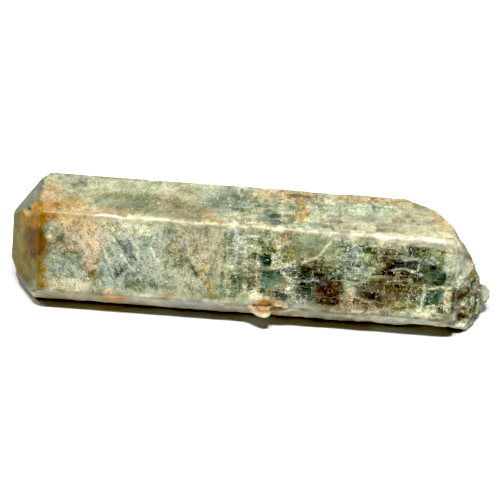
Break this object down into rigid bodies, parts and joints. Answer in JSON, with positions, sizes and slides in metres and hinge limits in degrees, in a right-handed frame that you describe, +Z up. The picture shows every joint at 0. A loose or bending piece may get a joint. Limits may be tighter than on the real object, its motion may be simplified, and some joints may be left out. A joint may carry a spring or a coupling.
{
  "type": "apatite crystal",
  "caption": "Single hexagonal gem crystal with a pyramid at both ends, lying on a prism face, with a small knob on its lower front edge",
  "frame": {"origin": "middle of the footprint of the crystal's box, on the surface that the crystal rests on", "axes": "+X along the crystal's long axis towards the end with the pitted, ledged pyramid; +Y to the back, away from the face with the small knob; +Z up, out of the face opposite the one it rests on"},
  "size_m": [0.1008, 0.027, 0.0199],
  "materials": {
    "apatite": "satin"
  },
  "bodies": {
    "root": {"apatite_crystal": "apatite"}
  },
  "joints": []
}
